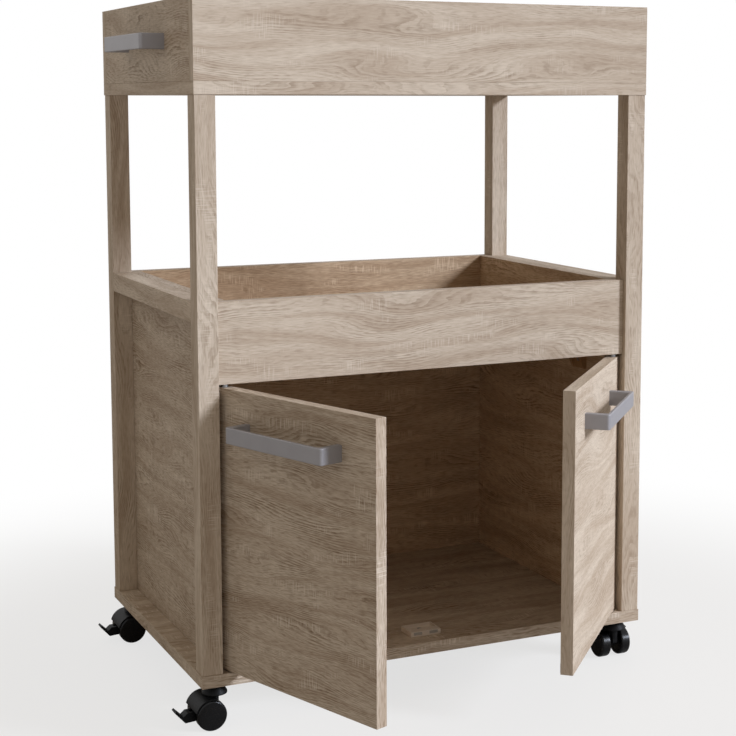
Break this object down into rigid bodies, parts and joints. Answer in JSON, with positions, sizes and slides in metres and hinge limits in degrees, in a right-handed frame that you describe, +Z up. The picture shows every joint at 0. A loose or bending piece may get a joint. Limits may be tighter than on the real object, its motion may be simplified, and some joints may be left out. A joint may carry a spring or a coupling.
{
  "type": "bar cabinet",
  "caption": "Bar cabinet on casters: an open post frame with a top tray, a middle tray and a cupboard with two hinged doors and bar handles.",
  "frame": {"origin": "on the floor, under the middle of the bounding box with both doors as posed", "axes": "+X to the cabinet's right seen from the front, +Y from the front to the back, +Z up"},
  "size_m": [0.701, 0.6702, 0.907],
  "materials": {
    "oak_board": "matt melamine with a printed greyish oak grain and light edge bands",
    "grey_metal": "satin grey powder coat",
    "zinc_steel": "bright zinc plate",
    "black_steel": "black painted sheet steel",
    "black_plastic": "moulded glossy black nylon",
    "grey_plastic": "moulded light grey plastic",
    "brown_plastic": "moulded brown plastic",
    "beech": "plain fluted beech"
  },
  "bodies": {
    "root": {"base_board": "oak_board", "upper_shelf": "oak_board", "tray_front": "oak_board", "tray_back": "oak_board", "tray_side_left": "oak_board", "tray_side_right": "oak_board", "post_front_left": "oak_board", "post_front_right": "oak_board", "post_back_left": "oak_board", "post_back_right": "oak_board", "rail_left": "oak_board", "rail_right": "oak_board", "side_panel_left": "oak_board", "side_panel_right": "oak_board", "middle_tray_front": "oak_board", "middle_tray_floor": "oak_board", "back_panel": "oak_board", "dowels": "beech", "frame_screws": "zinc_steel", "tray_brackets": "brown_plastic", "bracket_screws": "zinc_steel", "tray_handle_left": "grey_metal", "tray_handle_right": "grey_metal", "tray_handle_screws": "zinc_steel", "hinge_pins": "zinc_steel", "catch_body": "grey_plastic", "catch_magnets": "zinc_steel", "catch_screw": "zinc_steel", "caster_plates": "black_steel", "caster_stems": "zinc_steel", "caster_screws": "zinc_steel"},
    "left_door": {"door_left": "oak_board", "door_handle_left": "grey_metal", "door_bushes_left": "black_plastic", "door_striker_left": "zinc_steel", "door_screws_left": "zinc_steel"},
    "right_door": {"door_right": "oak_board", "door_handle_right": "grey_metal", "door_bushes_right": "black_plastic", "door_striker_right": "zinc_steel", "door_screws_right": "zinc_steel"},
    "front_left_caster": {"caster_body_front_left": "black_plastic", "axle_front_left": "zinc_steel"},
    "front_left_wheel_a": {"wheel_front_left_a": "black_plastic"},
    "front_left_wheel_b": {"wheel_front_left_b": "black_plastic"},
    "front_left_brake": {"brake_lever_front_left": "black_plastic"},
    "back_left_caster": {"caster_body_back_left": "black_plastic", "axle_back_left": "zinc_steel"},
    "back_left_wheel_a": {"wheel_back_left_a": "black_plastic"},
    "back_left_wheel_b": {"wheel_back_left_b": "black_plastic"},
    "back_left_brake": {"brake_lever_back_left": "black_plastic"},
    "front_right_caster": {"caster_body_front_right": "black_plastic", "axle_front_right": "zinc_steel"},
    "front_right_wheel_a": {"wheel_front_right_a": "black_plastic"},
    "front_right_wheel_b": {"wheel_front_right_b": "black_plastic"},
    "back_right_caster": {"caster_body_back_right": "black_plastic", "axle_back_right": "zinc_steel"},
    "back_right_wheel_a": {"wheel_back_right_a": "black_plastic"},
    "back_right_wheel_b": {"wheel_back_right_b": "black_plastic"}
  },
  "joints": [
    {"name": "left_door_hinge", "type": "hinge", "parent": "root", "child": "left_door", "pos_m": [-0.2795, -0.07089, 0.253], "axis": [0, 0, 1], "range_deg": [-34.5, 70.5]},
    {"name": "right_door_hinge", "type": "hinge", "parent": "root", "child": "right_door", "pos_m": [0.2795, -0.07089, 0.253], "axis": [0, 0, 1], "range_deg": [-47.5, 57.5]},
    {"name": "front_left_swivel", "type": "hinge", "parent": "root", "child": "front_left_caster", "pos_m": [-0.2945, -0.05889, 0.037], "axis": [0, 0, 1], "continuous": true},
    {"name": "front_left_wheel_a_spin", "type": "hinge", "parent": "front_left_caster", "child": "front_left_wheel_a", "pos_m": [-0.3045, -0.04304, 0.0195], "axis": [0, 1, 0], "continuous": true},
    {"name": "front_left_wheel_b_spin", "type": "hinge", "parent": "front_left_caster", "child": "front_left_wheel_b", "pos_m": [-0.3045, -0.07474, 0.0195], "axis": [0, 1, 0], "continuous": true},
    {"name": "front_left_brake_press", "type": "hinge", "parent": "front_left_caster", "child": "front_left_brake", "pos_m": [-0.3045, -0.05889, 0.0195], "axis": [0, -1, 0], "range_deg": [0, 15]},
    {"name": "back_left_swivel", "type": "hinge", "parent": "root", "child": "back_left_caster", "pos_m": [-0.2945, 0.30911, 0.037], "axis": [0, 0, 1], "continuous": true},
    {"name": "back_left_wheel_a_spin", "type": "hinge", "parent": "back_left_caster", "child": "back_left_wheel_a", "pos_m": [-0.3045, 0.32496, 0.0195], "axis": [0, 1, 0], "continuous": true},
    {"name": "back_left_wheel_b_spin", "type": "hinge", "parent": "back_left_caster", "child": "back_left_wheel_b", "pos_m": [-0.3045, 0.29326, 0.0195], "axis": [0, 1, 0], "continuous": true},
    {"name": "back_left_brake_press", "type": "hinge", "parent": "back_left_caster", "child": "back_left_brake", "pos_m": [-0.3045, 0.30911, 0.0195], "axis": [0, -1, 0], "range_deg": [0, 15]},
    {"name": "front_right_swivel", "type": "hinge", "parent": "root", "child": "front_right_caster", "pos_m": [0.2945, -0.05889, 0.037], "axis": [0, 0, 1], "continuous": true},
    {"name": "front_right_wheel_a_spin", "type": "hinge", "parent": "front_right_caster", "child": "front_right_wheel_a", "pos_m": [0.31035, -0.04889, 0.0195], "axis": [1, 0, 0], "continuous": true},
    {"name": "front_right_wheel_b_spin", "type": "hinge", "parent": "front_right_caster", "child": "front_right_wheel_b", "pos_m": [0.27865, -0.04889, 0.0195], "axis": [1, 0, 0], "continuous": true},
    {"name": "back_right_swivel", "type": "hinge", "parent": "root", "child": "back_right_caster", "pos_m": [0.2945, 0.30911, 0.037], "axis": [0, 0, 1], "continuous": true},
    {"name": "back_right_wheel_a_spin", "type": "hinge", "parent": "back_right_caster", "child": "back_right_wheel_a", "pos_m": [0.3045, 0.29326, 0.0195], "axis": [0, 1, 0], "continuous": true},
    {"name": "back_right_wheel_b_spin", "type": "hinge", "parent": "back_right_caster", "child": "back_right_wheel_b", "pos_m": [0.3045, 0.32496, 0.0195], "axis": [0, 1, 0], "continuous": true}
  ]
}
